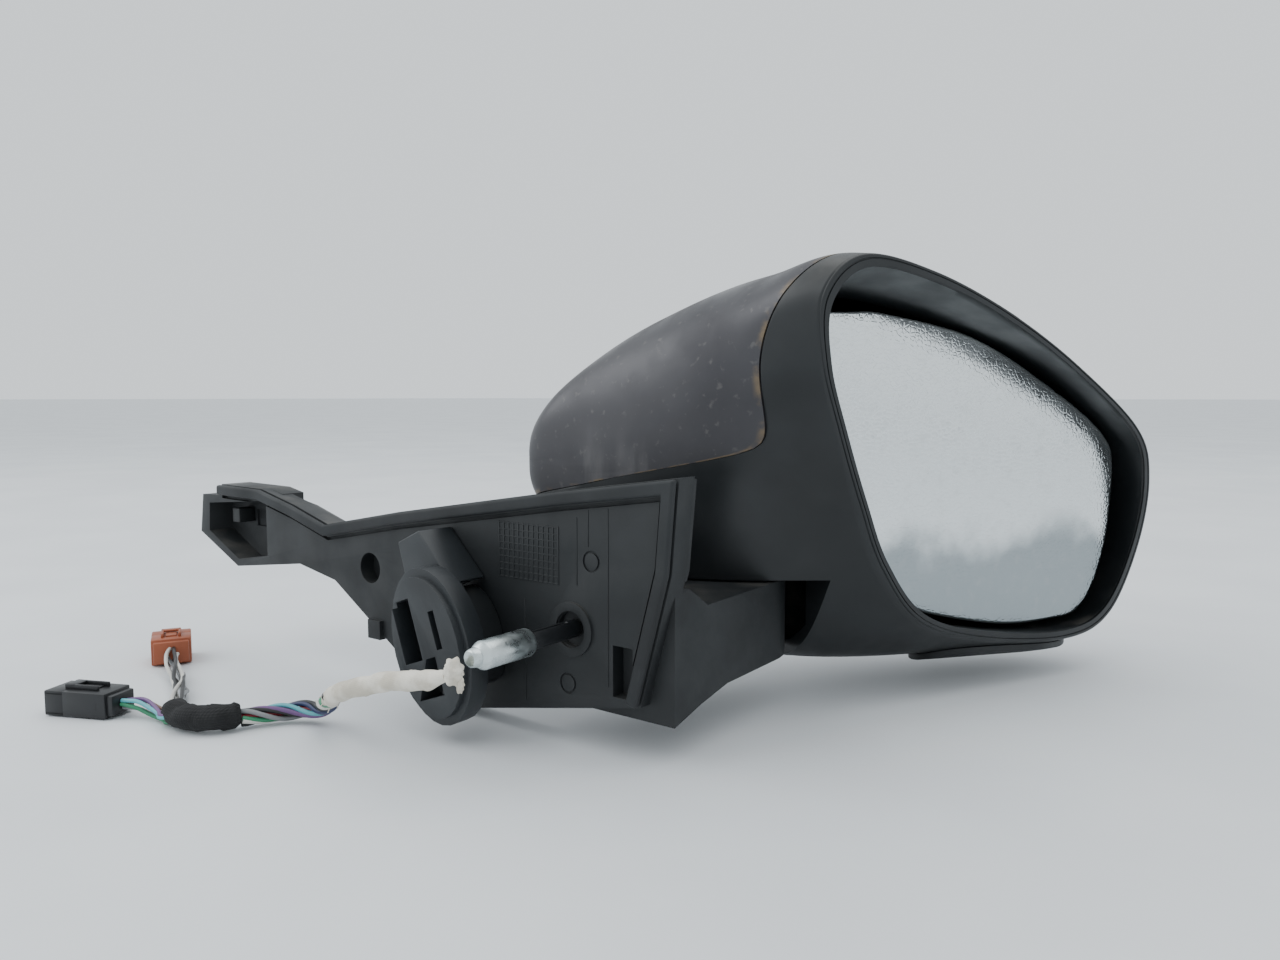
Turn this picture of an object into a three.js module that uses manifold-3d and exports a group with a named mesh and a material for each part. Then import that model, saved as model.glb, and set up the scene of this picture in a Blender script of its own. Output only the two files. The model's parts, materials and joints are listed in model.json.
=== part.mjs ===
// Right-hand car door mirror: fixing foot with stud and clip, folding head, tilting glass, wiring tails.
// Millimetres. Origin on the foot's door-side face, between the fixing stud and the locating clip.
// +X points to the rear of the car, +Y away from the door, +Z up.
import * as THREE from 'three';
import { mergeVertices } from 'three/addons/utils/BufferGeometryUtils.js';
import Module from 'manifold-3d';

const wasm = await Module();
wasm.setup();

// ---------- driving dimensions ----------
const GAP = 0.3; // clearance between touching pieces
const STUD = { x: 22, z: 0 }; // fixing stud axis, along Y
const CLIP = { x: -23, z: -8 }; // locating clip centre
const PIVOT = { x: 34, y: 78 }; // vertical fold axis
const PLATE_THICKNESS = 9;
const SKIN_FACE = 12; // outboard face of the outer skin
const TONGUE = { radius: 27, top: 9.5, bottom: -22 }; // shelf of the foot that carries the head
const FOLD_BACK = 62; // degrees the head folds to the rear
const FOLD_FORWARD = 20; // degrees it gives way to the front
const HEAD = { x: 83.6, y: 102.9, turn: 64 }; // head frame: x outboard along the opening, y forward, z up
const WALL = 3; // head shell wall
const LIP = 4; // width of the lip round the mirror opening
const CAP_WALL = 2.5; // painted cap skin
const CAP_GAP = 0.5; // seam between painted cap and shell
const AIM = { x: 60, y: -1, z: 48, turn: -5 }; // glass centre in the head frame
const GIMBAL_DEPTH = 11; // tilt centre behind the glass face
const FLOOR = -42.2; // level of the surface that the foot and the wiring rest on

const COLOURS = {
  black: [0x26292b, 0.55, 0],
  satin: [0x1d2022, 0.4, 0],
  rubber: [0x303334, 0.85, 0],
  paint: [0x4b484a, 0.35, 0.4],
  steel: [0x9a9c9e, 0.35, 1],
  zinc: [0xc4cbd0, 0.35, 1],
  mirror: [0xdfe3e4, 0.15, 1],
  white: [0xd8d4cc, 0.8, 0],
  felt: [0x1c1c1c, 0.95, 0],
  wire: [0x4fae8a, 0.5, 0],
  terracotta: [0xa5552f, 0.55, 0],
};

function paint(name) {
  const [color, roughness, metalness] = COLOURS[name];
  return new THREE.MeshStandardMaterial({ color, roughness, metalness });
}

const model = new THREE.Group();
const head = new THREE.Group();
head.position.set(HEAD.x, HEAD.y, 0);
head.rotation.z = THREE.MathUtils.degToRad(HEAD.turn);
model.add(head);
const aim = new THREE.Group();
aim.position.set(AIM.x, AIM.y, AIM.z);
aim.rotation.z = THREE.MathUtils.degToRad(AIM.turn);
head.add(aim);

// ---------- solid helpers ----------
function solid(geometry) {
  const bare = geometry.clone();
  bare.deleteAttribute('normal');
  bare.deleteAttribute('uv');
  const merged = mergeVertices(bare, 1e-4);
  const mesh = new wasm.Mesh({
    numProp: 3,
    vertProperties: new Float32Array(merged.attributes.position.array),
    triVerts: new Uint32Array(merged.index.array),
  });
  return new wasm.Manifold(mesh);
}

function geometryOf(body) {
  const mesh = body.getMesh();
  const geometry = new THREE.BufferGeometry();
  geometry.setAttribute('position', new THREE.BufferAttribute(new Float32Array(mesh.vertProperties), 3));
  geometry.setIndex(new THREE.BufferAttribute(new Uint32Array(mesh.triVerts), 1));
  geometry.computeVertexNormals();
  return geometry;
}

function place(name, body, colour, parent = model) {
  const geometry = body.isBufferGeometry ? body : geometryOf(body);
  const mesh = new THREE.Mesh(geometry, paint(colour));
  mesh.name = name;
  parent.add(mesh);
  return mesh;
}

const AXES = {
  x: [new THREE.Vector3(0, 1, 0), new THREE.Vector3(0, 0, 1), new THREE.Vector3(1, 0, 0)],
  y: [new THREE.Vector3(1, 0, 0), new THREE.Vector3(0, 0, 1), new THREE.Vector3(0, -1, 0)],
  z: [new THREE.Vector3(1, 0, 0), new THREE.Vector3(0, 1, 0), new THREE.Vector3(0, 0, 1)],
};

// A flat outline pushed from one level to another along an axis. Outlines for y are drawn in x and z.
function prismGeometry(outline, axis, from, to, curveSegments = 8) {
  const isShape = outline instanceof THREE.Shape;
  const shape = isShape ? outline : new THREE.Shape(outline.map(([a, b]) => new THREE.Vector2(a, b)));
  const geometry = new THREE.ExtrudeGeometry(shape, { depth: to - from, bevelEnabled: false, curveSegments });
  geometry.applyMatrix4(new THREE.Matrix4().makeBasis(...AXES[axis]));
  const shift = axis === 'y' ? [0, to, 0] : axis === 'x' ? [from, 0, 0] : [0, 0, from];
  return geometry.translate(...shift);
}

function prism(outline, axis, from, to, curveSegments) {
  return solid(prismGeometry(outline, axis, from, to, curveSegments));
}

function block([x0, y0, z0], [x1, y1, z1]) {
  const box = new THREE.BoxGeometry(x1 - x0, y1 - y0, z1 - z0);
  return solid(box.translate((x0 + x1) / 2, (y0 + y1) / 2, (z0 + z1) / 2));
}

// A round bar or a cone along an axis, given as [distance along the axis, radius] pairs.
function turnedGeometry(axis, [a, b], profile, segments = 24) {
  const points = profile.map(([along, radius]) => new THREE.Vector2(radius, along));
  const geometry = new THREE.LatheGeometry(points, segments);
  const spin = { x: ['rotateZ', -Math.PI / 2], y: ['rotateX', 0], z: ['rotateX', Math.PI / 2] }[axis];
  geometry[spin[0]](spin[1]);
  const centre = { x: [0, a, b], y: [a, 0, b], z: [a, b, 0] }[axis];
  return geometry.translate(...centre);
}

function turned(axis, centre, profile, segments) {
  return solid(turnedGeometry(axis, centre, profile, segments));
}

function bar(axis, centre, radius, from, to, segments) {
  return turned(axis, centre, [[from, 0], [from, radius], [to, radius], [to, 0]], segments);
}

function ring(axis, centre, inner, outer, from, to, segments) {
  const profile = [[from, inner], [from, outer], [to, outer], [to, inner], [from, inner]];
  return turned(axis, centre, profile, segments);
}

function regularSection(radius, sides) {
  const corners = [];
  for (let i = 0; i < sides; i += 1) {
    const angle = (2 * Math.PI * i) / sides;
    corners.push(new THREE.Vector2(radius * Math.cos(angle), radius * Math.sin(angle)));
  }
  return new THREE.Shape(corners);
}

function tube(points, radius, steps, sides = 8) {
  const path = new THREE.CatmullRomCurve3(points.map((p) => new THREE.Vector3(...p)));
  const section = regularSection(radius, sides);
  return new THREE.ExtrudeGeometry(section, { steps, extrudePath: path, bevelEnabled: false });
}

// A strip of constant width along an open line, on the right-hand side of its direction.
function band(line, start, end) {
  const points = line.map(([a, b]) => new THREE.Vector2(a, b));
  const offset = (distance) => points.map((point, i) => {
    const before = points[Math.max(i - 1, 0)];
    const after = points[Math.min(i + 1, points.length - 1)];
    const inward = point.clone().sub(before).normalize();
    const outward = after.clone().sub(point).normalize();
    if (i === 0) inward.copy(outward);
    if (i === points.length - 1) outward.copy(inward);
    const normalIn = new THREE.Vector2(inward.y, -inward.x);
    const normalOut = new THREE.Vector2(outward.y, -outward.x);
    const mitre = normalIn.clone().add(normalOut).normalize();
    return point.clone().addScaledVector(mitre, distance / mitre.dot(normalIn));
  });
  return new THREE.Shape([...offset(start), ...offset(end).reverse()]);
}

// ---------- foot: base plate, gasket, skin ----------
const TOP_EDGE = [[-206, 39], [-171, 38.6], [-144.5, 32.8], [-120, 26], [-71, 35], [17, 48.8], [68, 56]];
const REAR_EDGE = [[65.2, 24], [52.5, -22.7]];
const LOWER_EDGE = [[16, -30], [-20, -37], [-45, -42], [-84, -18], [-116, 1.5], [-142, 6], [-194, -0.6]];
const STRIP_END = [[-227, 14], [-224, 33], [-209, 33.5]];
const PLATE_OUTLINE = [...TOP_EDGE, ...REAR_EDGE, ...LOWER_EDGE, ...STRIP_END];
const STRIP_DEPTH = 15;
const BEAD = { width: 5, height: 3 };

function tongue() {
  const { radius, top, bottom } = TONGUE;
  const plan = new THREE.Shape();
  plan.moveTo(PIVOT.x - radius - 3, 5);
  plan.lineTo(PIVOT.x + radius + 2, 5);
  plan.lineTo(PIVOT.x + radius, PIVOT.y);
  plan.absarc(PIVOT.x, PIVOT.y, radius, 0, Math.PI, false);
  plan.lineTo(PIVOT.x - radius, PIVOT.y);
  const side = [[5, -29], [5, 19], [14, 17], [26, top], [110, top], [110, bottom], [40, bottom], [22, -25]];
  return prism(plan, 'z', -40, 40, 20).intersect(prism(side, 'x', 0, 70));
}

function basePlate() {
  const strip = [[-206, 39], [-171, 38.6], [-160, 36.5], [-160, 4.5], [-194, -0.6], ...STRIP_END];
  let body = prism(PLATE_OUTLINE, 'y', 0, PLATE_THICKNESS).add(prism(strip, 'y', 4, STRIP_DEPTH));
  body = body.add(tongue());
  const channel = [[-218, 29], [-168, 33], [-168, 7], [-193, 3], [-219, 15]];
  body = body.subtract(prism(channel, 'y', -1, STRIP_DEPTH - 2.5));
  body = body.subtract(block([-196, 5, 18], [-186, 13.7, 26]));
  body = body.subtract(bar('y', [-91, 9.6], 6.5, -1, 7));
  const groove = band([...TOP_EDGE, ...REAR_EDGE], BEAD.width + 0.6, BEAD.width + 2);
  body = body.subtract(prism(groove, 'y', -1, 2));
  body = body.subtract(block([40.5, -1, -21], [49, 6, -3]));
  body = body.add(ring('y', [STUD.x, STUD.z], 6.6, 9.8, -1.2, 1));
  body = body.subtract(bar('y', [STUD.x, STUD.z], 6.4, -2, 2.5));
  for (const [x, z] of [[31, 25], [20, -20]]) {
    body = body.subtract(ring('y', [x, z], 3, 3.8, -1, 0.7));
  }
  return body.add(block([-91, -2, -20], [-83, 4, -12]));
}

function outerSkin() {
  const line = [[-158, 34], [-144.5, 31.8], [-120, 25], [-71, 34], [17, 47.8], [67, 55], [64.2, 24],
    [51.5, -21.7], [16, -29], [-20, -36], [-44, -41], [-83, -17], [-115, 2.5], [-142, 7], [-158, 5]];
  const body = prism(line, 'y', PLATE_THICKNESS + GAP, SKIN_FACE);
  const slot = [[PIVOT.x - 33, -31], [PIVOT.x + 33, -31], [PIVOT.x + 33, 20], [PIVOT.x - 33, 20]];
  return body.subtract(prism(slot, 'y', 0, 30));
}

place('base_plate', basePlate(), 'black');
place('outer_skin', outerSkin(), 'satin');
place('gasket_bead', prism(band([...TOP_EDGE, ...REAR_EDGE], 0.3, BEAD.width), 'y', -BEAD.height - GAP, -GAP),
  'rubber');
place('strip_hook', block([-204, 4, 20], [-198, 12.2, 27]), 'black');

// ---------- fixing stud ----------
const STUD_TIP = -49;
const shaft = bar('y', [STUD.x, STUD.z], 3.2, -26, 2.2, 16);
const keyway = block([STUD.x - 0.7, -27, STUD.z + 1], [STUD.x + 0.7, -3, STUD.z + 6]);
place('stud_shaft', shaft.subtract(keyway), 'satin');
const sleeveProfile = [[STUD_TIP, 0], [STUD_TIP, 2.6], [-46.5, 3], [-44, 4.5], [-24, 4.8], [-22.6, 4.2],
  [-22.6, 3.5], [-26.3, 3.5], [-26.3, 0]];
place('stud_sleeve', turned('y', [STUD.x, STUD.z], sleeveProfile), 'zinc');

// ---------- locating clip ----------
const CLIP_TILT = THREE.MathUtils.degToRad(-20);
const clipGroup = new THREE.Group();
clipGroup.position.set(CLIP.x, 0, CLIP.z);
clipGroup.rotation.y = CLIP_TILT;
model.add(clipGroup);

function oval(halfWidth, halfHeight, cut = 0) {
  const shape = new THREE.Shape();
  shape.absellipse(0, 0, halfWidth - cut, halfHeight - cut, 0, 2 * Math.PI, false);
  return shape;
}

function clipBody() {
  let body = prism(oval(20, 29), 'y', -26, -18, 14);
  body = body.add(prism(oval(17.5, 26), 'y', -28.5, -25, 14));
  body = body.subtract(block([-13, -40, -4], [-3, -10, 19]));
  body = body.subtract(prism([[-1, -4], [4, -4], [4, -18], [-10, -18]], 'y', -40, -10));
  body = body.subtract(block([6, -40, -2], [9, -22, 12]));
  return body.subtract(prism([[-13, -8], [-6, -8], [-12, -14]], 'y', -40, -22));
}

function clipStem() {
  const stem = prism(oval(11, 19), 'y', -18 + GAP, -GAP, 12);
  const hollow = block([-8, -30, -12], [6, 1, 15]);
  return stem.subtract(hollow);
}

// Upright blade behind the oval, narrower at its top.
function clipBlade() {
  return prism([[-16, 20], [9, 20], [-2, 43], [-15, 42]], 'y', -17, -GAP);
}

place('clip_body', clipBody(), 'black', clipGroup);
place('clip_stem', clipStem(), 'black', clipGroup);
place('clip_blade', clipBlade(), 'black', clipGroup);

// ---------- fold pivot ----------
const pivotCentre = [PIVOT.x, PIVOT.y];
const SPINDLE = { foot: TONGUE.top + GAP, top: 62, radius: 8, bore: 5.5, flange: 13 };
const spindleProfile = [[SPINDLE.foot, SPINDLE.bore], [SPINDLE.foot, SPINDLE.flange],
  [12.8, SPINDLE.flange], [12.8, SPINDLE.radius],
  [SPINDLE.top, SPINDLE.radius], [SPINDLE.top, SPINDLE.bore], [SPINDLE.foot, SPINDLE.bore]];
place('pivot_spindle', turned('z', pivotCentre, spindleProfile), 'steel');

function detentRing() {
  let body = ring('z', pivotCentre, SPINDLE.radius + GAP, 13, 13.1, 15.6);
  for (let i = 0; i < 3; i += 1) {
    const angle = (2 * Math.PI * i) / 3;
    const centre = [PIVOT.x + 10.8 * Math.cos(angle), PIVOT.y + 10.8 * Math.sin(angle)];
    body = body.add(bar('z', centre, 1.8, 15, 17, 10));
  }
  return body;
}

function helix(turns, radius, from, to, stepsPerTurn) {
  const points = [];
  const count = turns * stepsPerTurn;
  for (let i = 0; i <= count; i += 1) {
    const angle = (2 * Math.PI * i) / stepsPerTurn;
    const z = from + ((to - from) * i) / count;
    points.push([PIVOT.x + radius * Math.cos(angle), PIVOT.y + radius * Math.sin(angle), z]);
  }
  return points;
}

place('detent_ring', detentRing(), 'steel');
place('fold_spring', tube(helix(4, 10.7, 41.5, 54, 10), 1.5, 44, 6), 'steel');
place('spring_washer', ring('z', pivotCentre, SPINDLE.radius + GAP, 13, 56, 58), 'steel');
place('spindle_collar', ring('z', pivotCentre, SPINDLE.radius + GAP, 11, 58.3, 61), 'steel');

// ---------- head outline ----------
// Rim of the mirror opening in the head frame, x outboard and z up.
const RIM = [[-40, 118], [-38, 95], [-28, 70], [-15, 42], [-1, 16], [22, -8], [60, -20], [110, -25],
  [136, -16], [149, 14], [150, 45], [137, 68], [93, 95], [50, 115], [10, 128], [-24, 132]];
const RIM_BOX = { inboard: -40, outboard: 150, bottom: -25, top: 132 };
const RING_STEPS = 3; // points per rim corner
const FULLNESS = 3; // power of the rounded section that the rim blends into

// Cross sections from the rim to the nose: depth, inboard, outboard, bottom, top, roundness, backward lean.
const STATIONS = [
  [-20.5, -40, 150, -25, 132, 0, 0.113],
  [-8, -50, 157, -30, 135, 0.2, 0.1],
  [10, -64, 158, -33, 136, 0.65, 0.07],
  [30, -76, 144, -32, 134, 0.9, 0.04],
  [48, -86, 118, -26, 127, 1, 0.02],
  [66, -95, 84, -10, 115, 1, 0],
  [82, -104, 46, 14, 97, 1, 0],
  [93, -104, 8, 30, 80, 1, 0],
  [98, -94, -24, 43, 70, 1, 0],
];

function rimPoints() {
  const corners = RIM.map(([x, z]) => new THREE.Vector3(x, z, 0));
  const curve = new THREE.CatmullRomCurve3(corners, true, 'catmullrom', 0.5);
  const count = RIM.length * RING_STEPS;
  return Array.from({ length: count }, (_, i) => curve.getPoint(i / count));
}

// The sloped upper outboard edge keeps its straight line for longer than the other corners.
function sectionRing([depth, inboard, outboard, bottom, top, roundness, lean], inset, hold = 3) {
  const midX = (RIM_BOX.inboard + RIM_BOX.outboard) / 2;
  const midZ = (RIM_BOX.bottom + RIM_BOX.top) / 2;
  return rimPoints().map((point) => {
    let u = (point.x - midX) / (RIM_BOX.outboard - midX);
    let v = (point.y - midZ) / (RIM_BOX.top - midZ);
    const size = (Math.abs(u) ** FULLNESS + Math.abs(v) ** FULLNESS) ** (1 / FULLNESS);
    const sloped = Math.min(5 * Math.max(u, 0) * Math.max(v, 0), 1);
    const swell = roundness ** (1 + hold * sloped * sloped * (3 - 2 * sloped));
    u += swell * (u / size - u);
    v += swell * (v / size - v);
    const x = (inboard + outboard) / 2 + u * ((outboard - inboard) / 2 - inset);
    const z = (bottom + top) / 2 + v * ((top - bottom) / 2 - inset);
    return [x, depth - lean * (z - 55), z];
  });
}

function loft(rings) {
  const positions = [];
  const index = [];
  const count = rings[0].length;
  rings.forEach((points) => points.forEach((point) => positions.push(...point)));
  for (let r = 0; r + 1 < rings.length; r += 1) {
    for (let i = 0; i < count; i += 1) {
      const a = r * count + i;
      const b = r * count + ((i + 1) % count);
      index.push(a, a + count, b, b, a + count, b + count);
    }
  }
  [0, rings.length - 1].forEach((r) => {
    const centre = positions.length / 3;
    const middle = [0, 1, 2].map((k) => rings[r].reduce((sum, point) => sum + point[k], 0) / count);
    positions.push(...middle);
    for (let i = 0; i < count; i += 1) {
      const a = r * count + i;
      const b = r * count + ((i + 1) % count);
      if (r === 0) index.push(centre, a, b);
      else index.push(centre, b, a);
    }
  });
  const geometry = new THREE.BufferGeometry();
  geometry.setAttribute('position', new THREE.Float32BufferAttribute(positions, 3));
  geometry.setIndex(index);
  return geometry;
}

// The dome, made smaller all round by an inset, from one of its stations to the nose.
// A cutter starts a little behind its first station, so that its end never lies in the face it cuts.
function domeLoft(inset, first = 0) {
  const rings = STATIONS.slice(first).map((station) => sectionRing(station, inset));
  if (inset > 0) {
    const [depth, ...rest] = STATIONS[first];
    rings.unshift(sectionRing([depth - (first ? 1 : 8), ...rest], inset));
  }
  const nose = STATIONS[STATIONS.length - 1];
  rings[rings.length - 1] = sectionRing([nose[0] - inset, ...nose.slice(1)], inset);
  return solid(loft(rings));
}

// ---------- head shell, cap, lower cover ----------
head.updateMatrixWorld();
const pivotInHead = head.worldToLocal(new THREE.Vector3(PIVOT.x, PIVOT.y, 0));

// Space that the foot's shelf sweeps while the head folds, in the head frame.
function footSweep() {
  const height = TONGUE.top + 1;
  let sweep = bar('z', [0, 0], TONGUE.radius + 1.5, -60, height, 40);
  const steps = 6;
  for (let i = 0; i <= steps; i += 1) {
    const fold = FOLD_BACK + 2 - ((FOLD_BACK + FOLD_FORWARD + 4) * i) / steps;
    const arm = prismGeometry([[-TONGUE.radius - 1.5, 0], [TONGUE.radius + 1.5, 0],
      [TONGUE.radius + 2.5, -80], [-TONGUE.radius - 2.5, -80]].reverse(), 'z', -60, height);
    arm.rotateZ(THREE.MathUtils.degToRad(fold - HEAD.turn));
    sweep = sweep.add(solid(arm));
  }
  return sweep.translate([pivotInHead.x, pivotInHead.y, 0]);
}

function mirrorOpening() {
  const rim = STATIONS[0];
  const outer = [rim[0] - 40, ...rim.slice(1)];
  const inner = [12, -36, 156, -26, 126, 0.2, 0.05];
  return solid(loft([sectionRing(outer, LIP), sectionRing(rim, LIP), sectionRing(inner, LIP, 0)]));
}

// Side view of the painted cap: everything ahead of its rear seam and above its lower seam.
function capRegion(grow) {
  const g = grow;
  const shape = new THREE.Shape();
  shape.moveTo(-25 - g, 150);
  shape.quadraticCurveTo(-14 - g, 122, -3 - g, 105);
  shape.lineTo(-3 - g, 72 - g);
  shape.quadraticCurveTo(-3 - g, 60 - g, 10 - g, 58 - g);
  shape.lineTo(112, 34.5 - g);
  shape.lineTo(112, 150);
  return prism(shape, 'x', -200, 200, 8);
}

const dome = domeLoft(0);
const hollow = domeLoft(WALL, 2);
const shell = dome.subtract(hollow).subtract(mirrorOpening()).subtract(footSweep());
const capRecess = capRegion(CAP_GAP).subtract(domeLoft(WALL + 0.8));
place('head_shell', shell.subtract(capRecess), 'satin', head);
const cap = dome.subtract(domeLoft(CAP_WALL)).intersect(capRegion(0)).subtract(footSweep());
place('painted_cap', cap, 'paint', head);

function lowerCover() {
  const pad = new THREE.Shape();
  pad.absellipse(90, 16, 42, 24, 0, 2 * Math.PI, false);
  const column = prism(pad, 'z', -60, 0, 12);
  return domeLoft(-3.5).subtract(domeLoft(-GAP)).intersect(column);
}
place('lower_cover', lowerCover(), 'black', head);

// ---------- chassis and glass drive, in the frame of the glass ----------
aim.updateMatrixWorld();
const pivotInAim = aim.worldToLocal(new THREE.Vector3(PIVOT.x, PIVOT.y, 0));
const bossCentre = [pivotInAim.x, pivotInAim.y];
const BOSS = { bottom: 17.4, top: 39.5, radius: 13.5 };
const DRIVE = { front: 24, back: 44, halfWidth: 36, halfHeight: 30, wall: 2 };
const ROD = { radius: 2.6, start: 6.2, end: 34 };
const YAW_ROD = [-26, 0];
const PITCH_ROD = [0, -22];

function chassis() {
  const low = BOSS.bottom - AIM.z;
  const high = BOSS.top - AIM.z;
  const plate = [[-48, -24], [-48, 20], [-30, 34], [34, 34], [42, 20], [42, -26], [28, -36], [-30, -36]];
  let body = prism(plate, 'y', DRIVE.back + GAP, DRIVE.back + 4);
  const arm = [[-116, 33], [-98, 37], [-46, 44.5], [-46, 48], [-100, 45], [-117, 38]].reverse();
  body = body.add(prism(arm, 'z', low, high));
  body = body.add(bar('z', bossCentre, BOSS.radius, low, high));
  return body.subtract(bar('z', bossCentre, SPINDLE.radius + 0.4, -80, 80));
}

function driveHousing() {
  const { front, back, halfWidth, halfHeight, wall } = DRIVE;
  let body = block([-halfWidth, front, -halfHeight], [halfWidth, back, halfHeight]);
  body = body.subtract(block([wall - halfWidth, front + wall, wall - halfHeight],
    [halfWidth - wall, back + 1, halfHeight - wall]));
  body = body.add(bar('y', [0, 0], 4, 8, front + 1, 16));
  for (const centre of [YAW_ROD, PITCH_ROD]) {
    body = body.subtract(bar('y', centre, ROD.radius + 0.6, 10, 30, 16));
  }
  return body;
}

place('head_chassis', chassis(), 'black', aim);
place('drive_housing', driveHousing(), 'black', aim);
place('yaw_motor', bar('x', [35, 17], 7, -32, -4, 16), 'steel', aim);
place('pitch_motor', bar('x', [35, 17], 7, 4, 32, 16), 'steel', aim);
place('yaw_push_rod', bar('y', YAW_ROD, ROD.radius, ROD.start, ROD.end, 12), 'white', aim);
place('pitch_push_rod', bar('y', PITCH_ROD, ROD.radius, ROD.start, ROD.end, 12), 'white', aim);
place('gimbal_ring', ring('y', [0, 0], 7.5, 11.5, GIMBAL_DEPTH - 2, GIMBAL_DEPTH + 2, 20), 'white', aim);

// ---------- mirror glass ----------
// Outline of the glass seen from behind the car, x outboard and z up from the glass centre.
const GLASS = [[-85, 61], [-60, 67.5], [-38, 66], [-8, 60.5], [15, 52], [39, 39.5], [62, 26], [75, 15.5],
  [79.5, 7], [80, -8], [77.5, -32], [70.5, -52], [61, -62.5], [48, -65], [20, -65.3], [-14, -59],
  [-31, -52.5], [-47, -35], [-62, -10], [-76, 22]];

function glassPlate(inset, from, to) {
  const middle = [2, 1];
  const curve = new THREE.CatmullRomCurve3(GLASS.map(([x, z]) => {
    const reach = Math.hypot(x - middle[0], z - middle[1]);
    const scale = (reach - inset) / reach;
    return new THREE.Vector3(middle[0] + (x - middle[0]) * scale, middle[1] + (z - middle[1]) * scale, 0);
  }), true, 'catmullrom', 0.5);
  const outline = curve.getPoints(GLASS.length * 2).slice(0, -1).map((point) => [point.x, point.y]).reverse();
  return prism(outline, 'y', from, to);
}

function glassCarrier() {
  let body = glassPlate(1, 3.2, 5);
  body = body.add(ring('y', [0, 0], 13, 15.5, 4.5, GIMBAL_DEPTH + 3, 24));
  return body;
}

place('mirror_glass', glassPlate(0, 0, 2.1), 'mirror', aim);
place('heater_pad', glassPlate(3, 2.4, 2.9), 'rubber', aim);
place('glass_carrier', glassCarrier(), 'black', aim);

// ---------- screws ----------
function screw(axis, centre, head, tip, headLength) {
  const [headRadius, shankRadius] = [3.4, 1.6];
  const neck = head - headLength;
  const shank = [[tip, 0], [tip, shankRadius], [neck, shankRadius]];
  const top = [[neck, headRadius], [head, headRadius], [head, 0]];
  return turnedGeometry(axis, centre, [...shank, ...top], 12);
}

[[-30, 26], [32, 26]].forEach((centre, i) => {
  place(`drive_screw_${i + 1}`, screw('y', centre, 51, 48.3, 2.4), 'steel', aim);
});

// ---------- wiring inside the head ----------
const innerRoute = [[-106, 26, 18], [-102, 33, 27], [-88, 46, 32], [-60, 56, 30], [-30, 56, 22],
  [-14, 52, 14]];
place('inner_lead', tube(innerRoute, 2.2, 26, 8), 'wire', aim);

// ---------- wiring tails ----------
const TAPE_KNOT = [STUD.x, STUD_TIP + 0.3, STUD.z - 1];
const knotShape = new THREE.SphereGeometry(5, 12, 8).scale(0.7, 0.9, 1.1);
const knot = solid(knotShape.translate(TAPE_KNOT[0] - 1, TAPE_KNOT[1] - 4.2, TAPE_KNOT[2] - 2));
const sleeveRoom = bar('y', [STUD.x, STUD.z], 5, STUD_TIP - GAP, -20);
place('tape_knot', knot.subtract(sleeveRoom), 'white');

const TRUNK = { radius: 3.8, lie: FLOOR + 4, end: [-88.8, -61.7], heading: 246.4 };
const WRAP = { radius: 5.3, lie: FLOOR + 5.4, end: [-113.5, -74.2], heading: 165.3 };
const LAMP_LEAD = { radius: 3.6, lie: FLOOR + 3.8, end: [-192.6, -35.2], heading: 152, height: 12 };
const MOTOR_LEAD = { radius: 2.9, lie: FLOOR + 3.1, end: [-139.4, -80.9], heading: 205, height: 10 };
const FACE_GAP = 0.4; // between the ends of two lengths of wiring

function ahead([x, y], heading, distance, aside = 0) {
  const angle = THREE.MathUtils.degToRad(heading);
  const [forwardX, forwardY] = [Math.cos(angle), Math.sin(angle)];
  return [x + distance * forwardX + aside * forwardY, y + distance * forwardY - aside * forwardX];
}

const trunkStraight = [...ahead(TRUNK.end, TRUNK.heading, -7), TRUNK.lie];
const trunkRoute = [[17.4, -54, -4.95], [6, -54, -8.5], [-8, -54.5, -11.2], [-20, -55.5, -14.5],
  [-31, -56, -18], [-40, -54.5, -21.8], [-49, -50, -26], [-58, -45.5, -31], [-69, -42, -35.8],
  [-79, -45.5, -37.7], trunkStraight, [...TRUNK.end, TRUNK.lie]];
const wrapStart = ahead(TRUNK.end, TRUNK.heading, FACE_GAP);
const wrapRoute = [[...wrapStart, WRAP.lie], [...ahead(wrapStart, TRUNK.heading, 4), WRAP.lie],
  [-93.8, -70.6, WRAP.lie], [-100.2, -75, WRAP.lie], [...ahead(WRAP.end, WRAP.heading, -6), WRAP.lie],
  [...WRAP.end, WRAP.lie]];
const lampStart = ahead(WRAP.end, WRAP.heading, FACE_GAP, 3.3);
const lampMiddle = FLOOR + LAMP_LEAD.height / 2;
const lampRoute = [[...lampStart, LAMP_LEAD.lie], [...ahead(lampStart, WRAP.heading, 3.5), LAMP_LEAD.lie],
  [-129, -64.9, LAMP_LEAD.lie], [-146.2, -55, LAMP_LEAD.lie], [-165.3, -46.5, LAMP_LEAD.lie],
  [-177, -42.5, FLOOR + 4.8], [...ahead(LAMP_LEAD.end, LAMP_LEAD.heading, -7), lampMiddle],
  [...LAMP_LEAD.end, lampMiddle]];
const motorStart = ahead(WRAP.end, WRAP.heading, FACE_GAP, -3.5);
const motorMiddle = FLOOR + MOTOR_LEAD.height / 2;
const motorRoute = [[...motorStart, MOTOR_LEAD.lie],
  [...ahead(motorStart, WRAP.heading, 3.2), MOTOR_LEAD.lie],
  [-125.2, -76.6, FLOOR + 3.4], [...ahead(MOTOR_LEAD.end, MOTOR_LEAD.heading, -7), motorMiddle],
  [...MOTOR_LEAD.end, motorMiddle]];
place('harness_trunk', tube(trunkRoute, TRUNK.radius, 52, 10), 'white');
place('harness_wrap', tube(wrapRoute, WRAP.radius, 16, 10), 'felt');
place('lamp_lead', tube(lampRoute, LAMP_LEAD.radius, 30, 8), 'wire');
place('motor_lead', tube(motorRoute, MOTOR_LEAD.radius, 12, 8), 'wire');

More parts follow.
